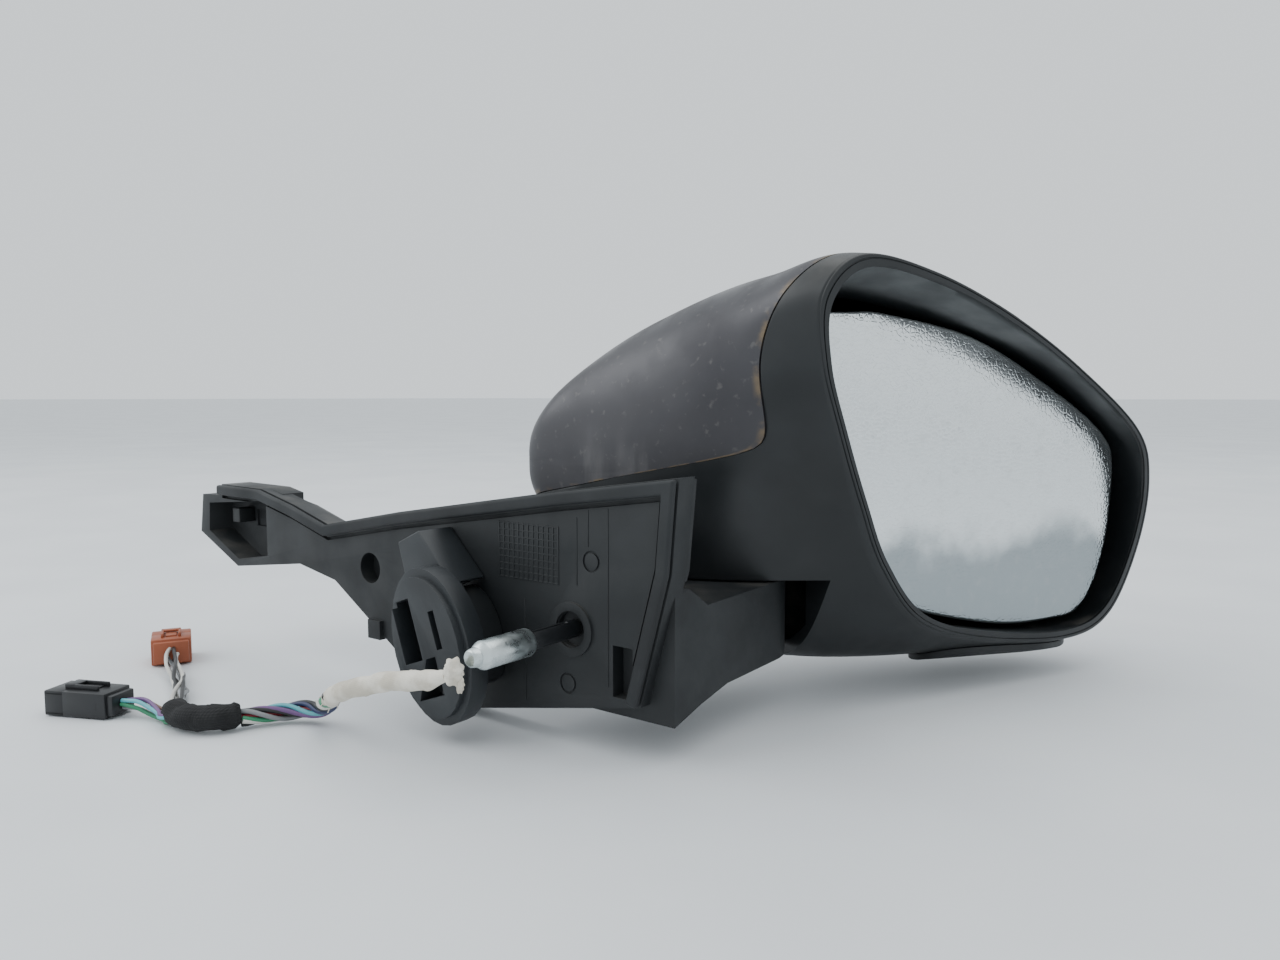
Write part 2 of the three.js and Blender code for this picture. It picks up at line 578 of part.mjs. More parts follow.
// A connector housing with its sockets open at the far end, lying along a heading in the ground plane.
function connector(name, colour, at, heading, [length, width, height], sockets) {
  const group = new THREE.Group();
  group.position.set(...at);
  group.rotation.z = THREE.MathUtils.degToRad(heading);
  model.add(group);
  let body = block([0, -width / 2, 0], [length, width / 2, height]);
  const cell = (width - 3) / sockets;
  for (let i = 0; i < sockets; i += 1) {
    const low = -width / 2 + 1.5 + cell * i;
    body = body.subtract(block([length - 9, low + 0.4, 2], [length + 1, low + cell - 0.4, height - 2]));
  }
  body = body.add(block([length * 0.25, -width / 4, height - 0.5], [length * 0.75, width / 4, height + 2]));
  place(name, body, colour, group);
}
const lampPlug = [...ahead(LAMP_LEAD.end, LAMP_LEAD.heading, FACE_GAP), FLOOR];
const motorPlug = [...ahead(MOTOR_LEAD.end, MOTOR_LEAD.heading, FACE_GAP), FLOOR];
connector('lamp_connector', 'terracotta', lampPlug, LAMP_LEAD.heading, [22, 17, LAMP_LEAD.height], 3);
connector('motor_connector', 'black', motorPlug, MOTOR_LEAD.heading, [30, 14, MOTOR_LEAD.height], 3);

export default model;
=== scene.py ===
# %% [markdown]
# # A folding car door mirror
# The CAD part gives every size, joint and body. This lesson dresses it: the wiring first, then the head,
# the glass, the foot and the small parts. Everything is in metres in the part's own frame: +X to the rear
# of the car, +Y away from the door, +Z up. Lengths are written in millimetres and scaled once.

# %% Load the frame
import json
import math

import bmesh
import bpy
import numpy as np
from mathutils import Matrix, Vector


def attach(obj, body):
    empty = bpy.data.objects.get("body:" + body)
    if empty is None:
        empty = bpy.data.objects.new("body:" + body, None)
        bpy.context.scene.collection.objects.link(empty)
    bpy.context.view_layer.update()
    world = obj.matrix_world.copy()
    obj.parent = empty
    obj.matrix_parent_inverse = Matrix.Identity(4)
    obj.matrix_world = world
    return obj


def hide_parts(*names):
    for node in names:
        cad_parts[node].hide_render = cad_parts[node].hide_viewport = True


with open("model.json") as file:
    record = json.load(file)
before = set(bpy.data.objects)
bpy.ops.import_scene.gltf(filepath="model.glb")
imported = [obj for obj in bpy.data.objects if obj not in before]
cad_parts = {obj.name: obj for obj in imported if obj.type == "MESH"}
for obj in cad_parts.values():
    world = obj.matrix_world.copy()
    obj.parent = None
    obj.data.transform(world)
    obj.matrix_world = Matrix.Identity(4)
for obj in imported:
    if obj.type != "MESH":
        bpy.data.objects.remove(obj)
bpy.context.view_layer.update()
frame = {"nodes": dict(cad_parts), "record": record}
BODY = {node: body for body, nodes in frame["record"]["behaviour"]["bodies"].items() for node in nodes}
MM = 0.001
print("bodies:", sorted(set(BODY.values())), "nodes:", len(BODY))

# %% [markdown]
# ## Camera
# The mirror is seen from behind the car and a little above, with a moderately wide lens. The camera looks
# 5 degrees down and is turned 37 degrees to the left of the +Y axis.

# %% Camera
camera_data = bpy.data.cameras.new("camera")
camera_data.lens = 27
camera_data.sensor_width = 36
camera_data.clip_start = 0.01
camera = bpy.data.objects.new("camera", camera_data)
camera.location = Vector((242.3, -252.3, 82.2)) * MM
camera.rotation_euler = (math.radians(85), 0, math.radians(37))
bpy.context.scene.collection.objects.link(camera)
bpy.context.scene.camera = camera
print("camera at", tuple(round(v, 3) for v in camera.location))

# %% [markdown]
# ## Mesh helpers
# Most pieces are rings of points joined into a skin: a cable, a dome and a plate edge are all the same job.
# One helper takes a grid of points and joins neighbours, and can close it round, close it along, or cap it.

# %% Mesh helpers
def new_piece(name, points, faces, body=None, smooth_angle=35):
    mesh = bpy.data.meshes.new(name)
    mesh.from_pydata([tuple(p) for p in points], [], [tuple(f) for f in faces])
    return finish_mesh(name, mesh, body, smooth_angle)


def finish_mesh(name, mesh, body=None, smooth_angle=35):
    tidy = bmesh.new()
    tidy.from_mesh(mesh)
    bmesh.ops.recalc_face_normals(tidy, faces=tidy.faces)
    tidy.to_mesh(mesh)
    tidy.free()
    for polygon in mesh.polygons:
        polygon.use_smooth = True
    mesh.set_sharp_from_angle(angle=math.radians(smooth_angle))
    piece = bpy.data.objects.new(name, mesh)
    bpy.context.scene.collection.objects.link(piece)
    if body:
        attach(piece, body)
    return piece


def grid_faces(rows, columns, start=0, round_rows=False, round_columns=True):
    faces = []
    for r in range(rows if round_rows else rows - 1):
        for c in range(columns if round_columns else columns - 1):
            a = start + r * columns + c
            b = start + r * columns + (c + 1) % columns
            below = start + ((r + 1) % rows) * columns
            faces.append((a, b, below + (c + 1) % columns, below + c))
    return faces


def capped_skin(rings, start=0):
    columns = len(rings[0])
    faces = grid_faces(len(rings), columns, start)
    faces.append(tuple(start + c for c in range(columns)))
    last = start + (len(rings) - 1) * columns
    faces.append(tuple(last + c for c in reversed(range(columns))))
    return faces


def baked(piece):
    """The piece with its modifiers made permanent."""
    shown = piece.evaluated_get(bpy.context.evaluated_depsgraph_get())
    mesh = bpy.data.meshes.new_from_object(shown)
    piece.modifiers.clear()
    old, piece.data = piece.data, mesh
    mesh.name = old.name
    return piece


def softened(piece, width, segments=2, angle=32):
    bevel = piece.modifiers.new("edge", "BEVEL")
    bevel.width = width * MM
    bevel.segments = segments
    bevel.limit_method = "ANGLE"
    bevel.angle_limit = math.radians(angle)
    bevel.use_clamp_overlap = True
    baked(piece)
    for polygon in piece.data.polygons:
        polygon.use_smooth = True
    piece.data.set_sharp_from_angle(angle=math.radians(50))
    return piece


# %% [markdown]
# ## Finishes
# Moulded plastic, paint, cloth and metal differ mostly in three things: how the colour drifts over a few
# centimetres, how rough the surface is, and the size of its grain. One helper builds all three from noise in
# the object's own space, so the pattern stays on the part when it moves.

# %% Finish helpers
def tone(red, green, blue):
    """An 8-bit screen colour as the linear colour that a shader works in."""
    linear = [((v / 255 + 0.055) / 1.055) ** 2.4 if v > 10 else v / 255 / 12.92 for v in (red, green, blue)]
    return (*linear, 1)


def start_finish(name, colour, rough, metal=0.0):
    material = bpy.data.materials.new(name)
    material.use_nodes = True
    shader = material.node_tree.nodes["Principled BSDF"]
    shader.inputs["Base Color"].default_value = colour
    shader.inputs["Roughness"].default_value = rough
    shader.inputs["Metallic"].default_value = metal
    return material, material.node_tree, shader


def noise_of(tree, size, detail=4.0, stretch=(1, 1, 1), turn=(0, 0, 0)):
    """Noise with lumps of about this size in millimetres."""
    place = tree.nodes.new("ShaderNodeTexCoord")
    mapping = tree.nodes.new("ShaderNodeMapping")
    mapping.inputs["Scale"].default_value = stretch
    mapping.inputs["Rotation"].default_value = [math.radians(v) for v in turn]
    noise = tree.nodes.new("ShaderNodeTexNoise")
    noise.inputs["Scale"].default_value = 1 / (size * MM)
    noise.inputs["Detail"].default_value = detail
    tree.links.new(place.outputs["Object"], mapping.inputs["Vector"])
    tree.links.new(mapping.outputs["Vector"], noise.inputs["Vector"])
    return noise.outputs["Fac"]


def cells_of(tree, size, feature="F1"):
    """Distance from the middle, or from the edge, of small cells of about this size in millimetres."""
    place = tree.nodes.new("ShaderNodeTexCoord")
    cells = tree.nodes.new("ShaderNodeTexVoronoi")
    cells.feature = feature
    cells.inputs["Scale"].default_value = 1 / (size * MM)
    tree.links.new(place.outputs["Object"], cells.inputs["Vector"])
    return cells.outputs["Distance"]


def ranged(tree, value, low, high, to_low=0.0, to_high=1.0):
    node = tree.nodes.new("ShaderNodeMapRange")
    node.interpolation_type = "SMOOTHSTEP"
    for socket, number in zip(("From Min", "From Max", "To Min", "To Max"), (low, high, to_low, to_high)):
        node.inputs[socket].default_value = number
    tree.links.new(value, node.inputs["Value"])
    return node.outputs["Result"]


def product(tree, first, second):
    node = tree.nodes.new("ShaderNodeMath")
    node.operation = "MULTIPLY"
    tree.links.new(first, node.inputs[0])
    tree.links.new(second, node.inputs[1])
    return node.outputs["Value"]


def blended(tree, amount, first, second):
    """A colour mix, where first is a socket or a colour and second is a colour."""
    node = tree.nodes.new("ShaderNodeMix")
    node.data_type = "RGBA"
    tree.links.new(amount, node.inputs[0])
    if isinstance(first, tuple):
        node.inputs[6].default_value = first
    else:
        tree.links.new(first, node.inputs[6])
    node.inputs[7].default_value = second
    return node.outputs[2]


def bumped(tree, shader, height, depth, strength=1.0):
    """Adds relief of a depth in millimetres on top of any relief already there."""
    bump = tree.nodes.new("ShaderNodeBump")
    bump.inputs["Strength"].default_value = strength
    bump.inputs["Distance"].default_value = depth * MM
    tree.links.new(height, bump.inputs["Height"])
    if shader.inputs["Normal"].is_linked:
        tree.links.new(shader.inputs["Normal"].links[0].from_socket, bump.inputs["Normal"])
    tree.links.new(bump.outputs["Normal"], shader.inputs["Normal"])


def upward(tree, low=0.2, high=0.95):
    geometry = tree.nodes.new("ShaderNodeNewGeometry")
    split = tree.nodes.new("ShaderNodeSeparateXYZ")
    tree.links.new(geometry.outputs["Normal"], split.inputs["Vector"])
    return ranged(tree, split.outputs["Z"], low, high)


def moulded(name, colour, second, rough, grain=0.45, depth=0.03, patch=35, dust=None, metal=0.0):
    """Moulded plastic or rubber: slow colour drift, uneven gloss, fine grain, and a little settled dust."""
    material, tree, shader = start_finish(name, colour, rough, metal)
    drift = noise_of(tree, patch, 5)
    skin = blended(tree, ranged(tree, drift, 0.35, 0.68), colour, second)
    if dust:
        settled = product(tree, upward(tree), ranged(tree, noise_of(tree, 14, 8), 0.42, 0.75, 0, dust[1]))
        skin = blended(tree, settled, skin, dust[0])
    tree.links.new(skin, shader.inputs["Base Color"])
    gloss = ranged(tree, noise_of(tree, patch * 0.6, 6), 0.3, 0.7, rough - 0.07, rough + 0.09)
    tree.links.new(gloss, shader.inputs["Roughness"])
    bumped(tree, shader, noise_of(tree, grain, 3), depth)
    return material


def dress(piece, *materials):
    piece.data.materials.clear()
    for material in materials:
        piece.data.materials.append(material)
    return piece


# %% The plastics and rubbers
DUST = tone(120, 116, 108)
GRAINED_BLACK = moulded("grained_black", tone(27, 30, 32), tone(20, 23, 25), 0.56, dust=(DUST, 0.22))
SATIN_BLACK = moulded("satin_black", tone(25, 28, 30), tone(18, 21, 23), 0.42, grain=0.7, depth=0.012,
                      dust=(DUST, 0.24))
SMOOTH_BLACK = moulded("smooth_black", tone(24, 27, 29), tone(18, 20, 23), 0.36, grain=1.2, depth=0.008)
CLIP_BLACK = moulded("clip_black", tone(38, 42, 45), tone(28, 31, 34), 0.46, grain=0.6, depth=0.02)
SEAL_RUBBER = moulded("seal_rubber", tone(32, 35, 37), tone(24, 26, 28), 0.68, grain=0.3, depth=0.03)
PLUG_BLACK = moulded("plug_black", tone(30, 31, 33), tone(22, 23, 25), 0.42, grain=0.8, depth=0.01)
TERRACOTTA = moulded("terracotta", tone(158, 84, 52), tone(138, 70, 42), 0.5, grain=0.8, depth=0.01)
WHITE_NYLON = moulded("white_nylon", tone(214, 214, 206), tone(200, 198, 188), 0.45, grain=0.8, depth=0.01)
print("plastics ready")

# %% [markdown]
# ## Wiring routes
# The tails are real cables with a fixed length, so each one follows the same route that the part's solids
# take. A route is a few guide points joined by a smooth curve, then respaced evenly along its length.

# %% Routes
FLOOR = -42.2


def eased(t, start, leave, end, reach):
    """A cubic from start to end that sets off along leave and arrives along reach."""
    return ((2 * t**3 - 3 * t**2 + 1) * start + (t**3 - 2 * t**2 + t) * leave
            + (3 * t**2 - 2 * t**3) * end + (t**3 - t**2) * reach)


def distance_along(line):
    return np.concatenate([[0], np.cumsum(np.linalg.norm(np.diff(line, axis=0), axis=1))])


def smooth_route(guides, spacing):
    """A smooth line through the guide points, with a point at about every spacing millimetres."""
    guides = np.array(guides, float)
    guides = np.vstack([2 * guides[0] - guides[1], guides, 2 * guides[-1] - guides[-2]])
    line = []
    for i in range(1, len(guides) - 2):
        before, start, end, after = guides[i - 1:i + 3]
        gaps = [np.linalg.norm(b - a) ** 0.5 for a, b in ((before, start), (start, end), (end, after))]
        near, own, far = gaps
        leave = ((start - before) / near - (end - before) / (near + own) + (end - start) / own) * own
        reach = ((end - start) / own - (after - start) / (own + far) + (after - end) / far) * own
        t = np.linspace(0, 1, 24, endpoint=False)[:, None]
        line.append(eased(t, start, leave, end, reach))
    line = np.vstack(line + [guides[-2][None]])
    travelled = distance_along(line)
    steps = np.linspace(0, travelled[-1], max(int(travelled[-1] / spacing), 4) + 1)
    return np.stack([np.interp(steps, travelled, line[:, k]) for k in range(3)], axis=1)


def length_of(line):
    return float(np.linalg.norm(np.diff(line, axis=0), axis=1).sum())


def frames_along(line):
    """A pair of sideways directions at each point, carried along without twisting."""
    tangents = np.gradient(line, axis=0)
    tangents /= np.linalg.norm(tangents, axis=1)[:, None]
    side = np.cross(tangents[0], (0, 0, 1.0))
    sides = []
    for tangent in tangents:
        side = side - tangent * (side @ tangent)
        side = side / np.linalg.norm(side)
        sides.append(side)
    sides = np.array(sides)
    return sides, np.cross(tangents, sides)


def ahead(point, heading, distance, aside=0.0):
    forward = np.array([math.cos(math.radians(heading)), math.sin(math.radians(heading))])
    return np.array(point) + distance * forward + aside * np.array([forward[1], -forward[0]])


def level(point, height):
    return (*point, height)


TRUNK = {"radius": 3.8, "lie": FLOOR + 4, "end": (-88.8, -61.7), "heading": 246.4}
WRAP = {"radius": 5.3, "lie": FLOOR + 5.4, "end": (-113.5, -74.2), "heading": 165.3}
LAMP = {"radius": 3.6, "lie": FLOOR + 3.8, "end": (-192.6, -35.2), "heading": 152, "middle": FLOOR + 6}
MOTOR = {"radius": 2.9, "lie": FLOOR + 3.1, "end": (-139.4, -80.9), "heading": 205, "middle": FLOOR + 5}
trunk_route = smooth_route([(17.4, -54, -4.95), (6, -54, -8.5), (-8, -54.5, -11.2), (-20, -55.5, -14.5),
                            (-31, -56, -18), (-40, -54.5, -21.8), (-49, -50, -26), (-58, -45.5, -31),
                            (-69, -42, -35.8), (-79, -45.5, -37.7),
                            level(ahead(TRUNK["end"], TRUNK["heading"], -7), TRUNK["lie"]),
                            level(TRUNK["end"], TRUNK["lie"])], 1.0)
wrap_start = ahead(TRUNK["end"], TRUNK["heading"], 0.4)
wrap_guides = [level(wrap_start, WRAP["lie"]), level(ahead(wrap_start, TRUNK["heading"], 4), WRAP["lie"]),
               (-93.8, -70.6, WRAP["lie"]), (-100.2, -75, WRAP["lie"]),
               level(ahead(WRAP["end"], WRAP["heading"], -6), WRAP["lie"]), level(WRAP["end"], WRAP["lie"])]
wrap_route = smooth_route(wrap_guides, 1.0)
lamp_start = ahead(WRAP["end"], WRAP["heading"], 0.4, 3.3)
lamp_route = smooth_route([level(lamp_start, LAMP["lie"]),
                           level(ahead(lamp_start, WRAP["heading"], 3.5), LAMP["lie"]),
                           (-129, -64.9, LAMP["lie"]), (-146.2, -55, LAMP["lie"]), (-165.3, -46.5, LAMP["lie"]),
                           (-177, -42.5, FLOOR + 4.8),
                           level(ahead(LAMP["end"], LAMP["heading"], -7), LAMP["middle"]),
                           level(LAMP["end"], LAMP["middle"])], 1.0)
motor_start = ahead(WRAP["end"], WRAP["heading"], 0.4, -3.5)
motor_route = smooth_route(wrap_guides[:5] + [level(motor_start, MOTOR["lie"]),
                           level(ahead(motor_start, WRAP["heading"], 3.2), MOTOR["lie"]),
                           (-125.2, -76.6, FLOOR + 3.4),
                           level(ahead(MOTOR["end"], MOTOR["heading"], -7), MOTOR["middle"]),
                           level(MOTOR["end"], MOTOR["middle"])], 1.0)
for name, line in (("trunk", trunk_route), ("wrap", wrap_route), ("lamp", lamp_route), ("motor", motor_route)):
    print(name, "length", round(length_of(line), 1), "mm")

# %% [markdown]
# ## Cable finishes
# Cloth tape is matt and woven, felt is darker and fuzzy, and wire insulation is smooth and slightly glossy.
# The weave is two crossed wave patterns, which stay about half a millimetre apart.

# %% Cable finishes
def woven(name, colour, second, rough, thread, depth):
    material, tree, shader = start_finish(name, colour, rough)
    skin = blended(tree, ranged(tree, noise_of(tree, 9, 7), 0.38, 0.66), colour, second)
    tree.links.new(skin, shader.inputs["Base Color"])
    for axis in ("X", "Z"):
        place = tree.nodes.new("ShaderNodeTexCoord")
        wave = tree.nodes.new("ShaderNodeTexWave")
        wave.bands_direction = axis
        wave.inputs["Scale"].default_value = 0.31 / (thread * MM)
        wave.inputs["Distortion"].default_value = 1.5
        tree.links.new(place.outputs["Object"], wave.inputs["Vector"])
        bumped(tree, shader, wave.outputs["Fac"], depth)
    bumped(tree, shader, noise_of(tree, 2.2, 5), depth * 4)
    return material


CLOTH_TAPE = woven("cloth_tape", tone(226, 221, 209), tone(196, 189, 174), 0.85, 0.6, 0.05)
FELT = woven("felt_tape", tone(34, 34, 35), tone(22, 22, 23), 0.95, 0.9, 0.12)


def insulation(name, colour):
    deeper = tuple(v * 0.8 for v in colour[:3]) + (1,)
    return moulded("wire_" + name, colour, deeper, 0.42, grain=1.5, depth=0.01, patch=18)


WIRES = {
    "black": insulation("black", tone(28, 28, 30)), "white": insulation("white", tone(205, 203, 196)),
    "green": insulation("green", tone(46, 130, 92)), "cyan": insulation("cyan", tone(92, 176, 186)),
    "grey": insulation("grey", tone(128, 130, 132)), "violet": insulation("violet", tone(112, 78, 128)),
    "red": insulation("red", tone(158, 46, 60)), "navy": insulation("navy", tone(38, 48, 88)),
    "brown": insulation("brown", tone(112, 84, 70)),
}
print(len(WIRES), "wire colours")

# %% [markdown]
# ## The trunk
# A bundle of eight wires leaves the stud, wound in white cloth tape that ends in a ragged edge past halfway.
# From there the bare wires twist round each other. The tape is a tube whose radius steps up at each overlap
# of its spiral, and each wire is a thin tube on a helix round the same route.

# %% Tubes and strands
def tube_points(line, radii, sides):
    """Rings round a line, where radii is a function of the distance along it and the angle round it."""
    first, second = frames_along(line)
    travelled = distance_along(line)
    rings = []
    for i, point in enumerate(line):
        angles = 2 * np.pi * np.arange(sides) / sides
        reach = radii(travelled[i], angles)
        outward = first[i] * np.cos(angles)[:, None] + second[i] * np.sin(angles)[:, None]
        rings.append(point + outward * reach[:, None])
    return rings


def strand_line(line, radius, start_angle, turn_length, wander=0.0):
    """A wire that winds round a line: its own centreline."""
    first, second = frames_along(line)
    travelled = distance_along(line)
    angle = start_angle + 2 * np.pi * travelled / turn_length + wander * np.sin(travelled / 9 + start_angle * 3)
    reach = radius * (1 - 0.12 * np.cos(travelled / 13 + start_angle * 5))
    return line + first * (np.cos(angle) * reach)[:, None] + second * (np.sin(angle) * reach)[:, None]


class Bundle:
    """Tubes gathered into one mesh, each with its own material."""

    def __init__(self):
        self.points, self.faces, self.marks, self.materials = [], [], [], []

    def add(self, rings, material):
        faces = capped_skin(rings, len(self.points))
        self.points.extend(np.vstack(rings) * MM)
        self.faces.extend(faces)
        if material not in self.materials:
            self.materials.append(material)
        self.marks.extend([self.materials.index(material)] * len(faces))

    def wire(self, line, radius, material, sides=10):
        self.add(tube_points(line, lambda s, a: np.full(len(a), radius), sides), material)

    def piece(self, name, body, smooth_angle=45):
        made = new_piece(name, self.points, self.faces, body, smooth_angle)
        for material in self.materials:
            made.data.materials.append(material)
        made.data.polygons.foreach_set("material_index", self.marks)
        return made


# %% The taped trunk
def tape_radius(distance, angles):
    spiral = (distance / 15 + angles / (2 * np.pi)) % 1
    lumps = 0.16 * np.sin(distance * 0.55 + 2 * angles) + 0.1 * np.sin(distance * 0.21 + 3 * angles)
    start = min(1.0, 0.55 + distance / 22)
    return (3.1 + 0.35 * spiral + lumps) * start


trunk = Bundle()
TAPED_SHARE = 0.56
bare_from = int(len(trunk_route) * TAPED_SHARE)
trunk.add(tube_points(trunk_route[:bare_from + 4], tape_radius, 28), CLOTH_TAPE)
colours = ["black", "white", "green", "grey", "black", "violet", "cyan", "navy"]
for i, colour in enumerate(colours):
    line = strand_line(trunk_route[bare_from - 4:], 2.45, 2 * np.pi * i / 8, 46, 0.25)
    trunk.wire(line, 0.92, WIRES[colour])
trunk.wire(trunk_route[bare_from - 4:], 1.35, WIRES["red"])
for k in range(7):
    angle = 0.9 * k
    frayed = trunk_route[bare_from + 1:bare_from + 6 + k % 3] * 1.0
    sides, ups = frames_along(frayed)
    lift = (3.25 + 0.12 * np.arange(len(frayed)))[:, None]
    trunk.wire(frayed + (sides * math.cos(angle) + ups * math.sin(angle)) * lift, 0.22, CLOTH_TAPE, 6)
trunk_piece = trunk.piece("taped_trunk", "base")
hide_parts("harness_trunk")
print("trunk:", len(trunk_piece.data.polygons), "faces")

# %% The knot at the stud
def lump(name, centre, size, roughness, seed):
    """A small rounded lump, pushed in and out by a few waves."""
    blob = bmesh.new()
    bmesh.ops.create_icosphere(blob, subdivisions=4, radius=1)
    for vertex in blob.verts:
        p = vertex.co
        wave = (math.sin(5 * p.x + seed) * math.sin(6 * p.y - seed)
                + 0.6 * math.sin(11 * p.z + 2 * seed + 4 * p.x))
        vertex.co = p * (1 + roughness * wave)
        vertex.co = Vector(vertex.co[k] * size[k] + centre[k] for k in range(3)) * MM
    mesh = bpy.data.meshes.new(name)
    blob.to_mesh(mesh)
    blob.free()
    return finish_mesh(name, mesh, "base", 60)


knot = lump("tape_end", (19.6, -53.4, -3.4), (2.9, 3.3, 4.2), 0.16, 1.3)
dress(knot, CLOTH_TAPE)
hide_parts("tape_knot")
flag = lump("tape_flag", (21.6, -52.6, -7.2), (1.5, 1.2, 2.6), 0.2, 2.6)
dress(flag, CLOTH_TAPE)

# %% [markdown]
# ## Wrap, tails and plugs
# Black felt tape holds the fork of the wiring. Six thin wires run on to the terracotta plug and five to the
# black one. Loose wires never lie perfectly parallel, so each one wanders a little round its bundle.

# %% The felt wrap
def wrap_radius(distance, angles):
    spiral = (distance / 9 + angles / (2 * np.pi)) % 1
    return 4.5 + 0.55 * spiral + 0.2 * np.sin(distance * 0.5 + 3 * angles) - 1.2 * max(0, 1 - distance / 2)


wrap = Bundle()
wrap.add(tube_points(wrap_route, wrap_radius, 28), FELT)
wrap_piece = wrap.piece("felt_wrap", "base")
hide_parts("harness_wrap")

# %% The two tails
def tail(name, line, colours, radius, wire_radius, turn):
    bundle = Bundle()
    for i, colour in enumerate(colours):
        angle = 2 * np.pi * i / len(colours)
        bundle.wire(strand_line(line, radius, angle, turn, 0.5), wire_radius, WIRES[colour])
    return bundle.piece(name, "base")


lamp_tail = tail("lamp_wires", lamp_route, ["black", "white", "black", "white", "black", "grey"],
                 2.35, 0.85, 170)
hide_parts("lamp_lead")
motor_tail = tail("motor_wires", motor_route, ["green", "cyan", "violet", "brown", "grey"], 1.8, 0.8, 120)
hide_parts("motor_lead")

# %% Boxes with rounded edges
def rounded_boxes(name, boxes, body, width=0.4, place=None, materials=None):
    """One mesh of several boxes, each given by its low and high corners in millimetres."""
    shape = bmesh.new()
    for low, high in boxes:
        low, high = Vector(low), Vector(high)
        size = high - low
        move = Matrix.Translation((low + high) / 2 * MM) @ Matrix.Diagonal((*(size * MM), 1))
        made = bmesh.ops.create_cube(shape, size=1, matrix=move)
        edges = {edge for vertex in made["verts"] for edge in vertex.link_edges}
        reach = min(width, 0.4 * min(size)) * MM
        bmesh.ops.bevel(shape, geom=list(edges), offset=reach, segments=2, affect="EDGES", profile=0.5)
    mesh = bpy.data.meshes.new(name)
    shape.to_mesh(mesh)
    shape.free()
    if place is not None:
        mesh.transform(place)
    return finish_mesh(name, mesh, body, 40)


def lying_at(point, heading):
    return Matrix.Translation(Vector(point) * MM) @ Matrix.Rotation(math.radians(heading), 4, "Z")


def plug_boxes(length, width, height, sockets):
    """A plug housing: walls round a row of sockets, a wire collar, side rails and a latch bridge."""
    half = width / 2
    cell = (width - 3) / sockets
    boxes = [((0.0, -half + 1, 1), (3.2, half - 1, height - 1)), ((2.6, -half, 0), (length - 8, half, height)),
             ((length - 8.6, -half, 0), (length, half, 2)),
             ((length - 8.6, -half, height - 2), (length, half, height)),
             ((length - 8.6, -half, 0.2), (length, -half + 1.7, height - 0.2)),
             ((length - 8.6, half - 1.7, 0.2), (length, half, height - 0.2))]
    for i in range(1, sockets):
        middle = -half + 1.5 + cell * i
        boxes.append(((length - 8.6, middle - 0.4, 1), (length - 0.6, middle + 0.4, height - 1)))
    boxes += [((length * 0.28, -half * 0.5, height - 0.3), (length * 0.78, -half * 0.5 + 1.2, height + 1.9)),
              ((length * 0.28, half * 0.5 - 1.2, height - 0.3), (length * 0.78, half * 0.5, height + 1.9)),
              ((length * 0.62, -half * 0.5, height + 0.9), (length * 0.78, half * 0.5, height + 1.9)),
              ((length * 0.34, -half * 0.28, height - 0.2), (length * 0.7, half * 0.28, height + 0.7)),
              ((length * 0.2, -half, height * 0.3), (length * 0.24, half, height * 0.7))]
    return boxes


lamp_at = level(ahead(LAMP["end"], LAMP["heading"], 0.4), FLOOR)
lamp_plug = rounded_boxes("lamp_plug", plug_boxes(22, 17, 12, 3), "base", 0.6,
                          lying_at(lamp_at, LAMP["heading"]))
dress(lamp_plug, TERRACOTTA)
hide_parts("lamp_connector")
motor_at = level(ahead(MOTOR["end"], MOTOR["heading"], 0.4), FLOOR)
motor_plug = rounded_boxes("motor_plug", plug_boxes(30, 14, 10, 3), "base", 0.6,
                           lying_at(motor_at, MOTOR["heading"]))
dress(motor_plug, PLUG_BLACK)
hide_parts("motor_connector")
print("plugs made")


# %% [markdown]
# ## The head's surface
# The head is one smooth dome: a rounded four-sided rim that swells and then closes to a nose on the hidden
# side. It is drawn as a family of sections. Each section has a depth, four limits, a roundness and a lean, and
# a smooth curve through those numbers gives a section at any depth. The shell, the painted cap and the cover
# under the head all come from this one surface, so their seams fit.

# %% Sections of the dome
RIM = [(-40, 118), (-38, 95), (-28, 70), (-15, 42), (-1, 16), (22, -8), (60, -20), (110, -25),
       (136, -16), (149, 14), (150, 45), (137, 68), (93, 95), (50, 115), (10, 128), (-24, 132)]
SECTIONS = np.array([
    [-20.5, -40, 150, -25, 132, 0, 0.113], [-8, -50, 157, -30, 135, 0.2, 0.1],
    [10, -64, 158, -33, 136, 0.65, 0.07],
    [30, -76, 144, -32, 134, 0.9, 0.04], [48, -86, 118, -26, 127, 1, 0.02], [66, -95, 84, -10, 115, 1, 0],
    [82, -104, 46, 14, 97, 1, 0], [93, -104, 8, 30, 80, 1, 0], [98, -94, -24, 43, 70, 1, 0],
    [100.6, -82, -36, 49, 64, 1, 0], [101.2, -60, -58, 56, 57, 1, 0]])
NOSE = len(SECTIONS) - 1
HEAD_PLACE = Matrix.Translation(Vector((83.6, 102.9, 0)) * MM) @ Matrix.Rotation(math.radians(64), 4, "Z")
AIM_PLACE = HEAD_PLACE @ Matrix.Translation(Vector((60, -1, 48)) * MM) @ Matrix.Rotation(math.radians(-5), 4, "Z")


def closed_curve(corners, per_corner):
    """A smooth closed line through its corners."""
    corners = np.array(corners, float)
    count = len(corners)
    t = np.arange(per_corner)[:, None] / per_corner
    line = []
    for i in range(count):
        before, start, end, after = (corners[(i + k) % count] for k in (-1, 0, 1, 2))
        leave, reach = (end - before) / 2, (after - start) / 2
        line.append(eased(t, start, leave, end, reach))
    return np.vstack(line)


rim = closed_curve(RIM, 15)
rim_u = (rim[:, 0] - 55) / 95
rim_v = (rim[:, 1] - 53.5) / 78.5
fullness = (np.abs(rim_u) ** 3 + np.abs(rim_v) ** 3) ** (1 / 3)
sloped = np.clip(5 * np.maximum(rim_u, 0) * np.maximum(rim_v, 0), 0, 1)


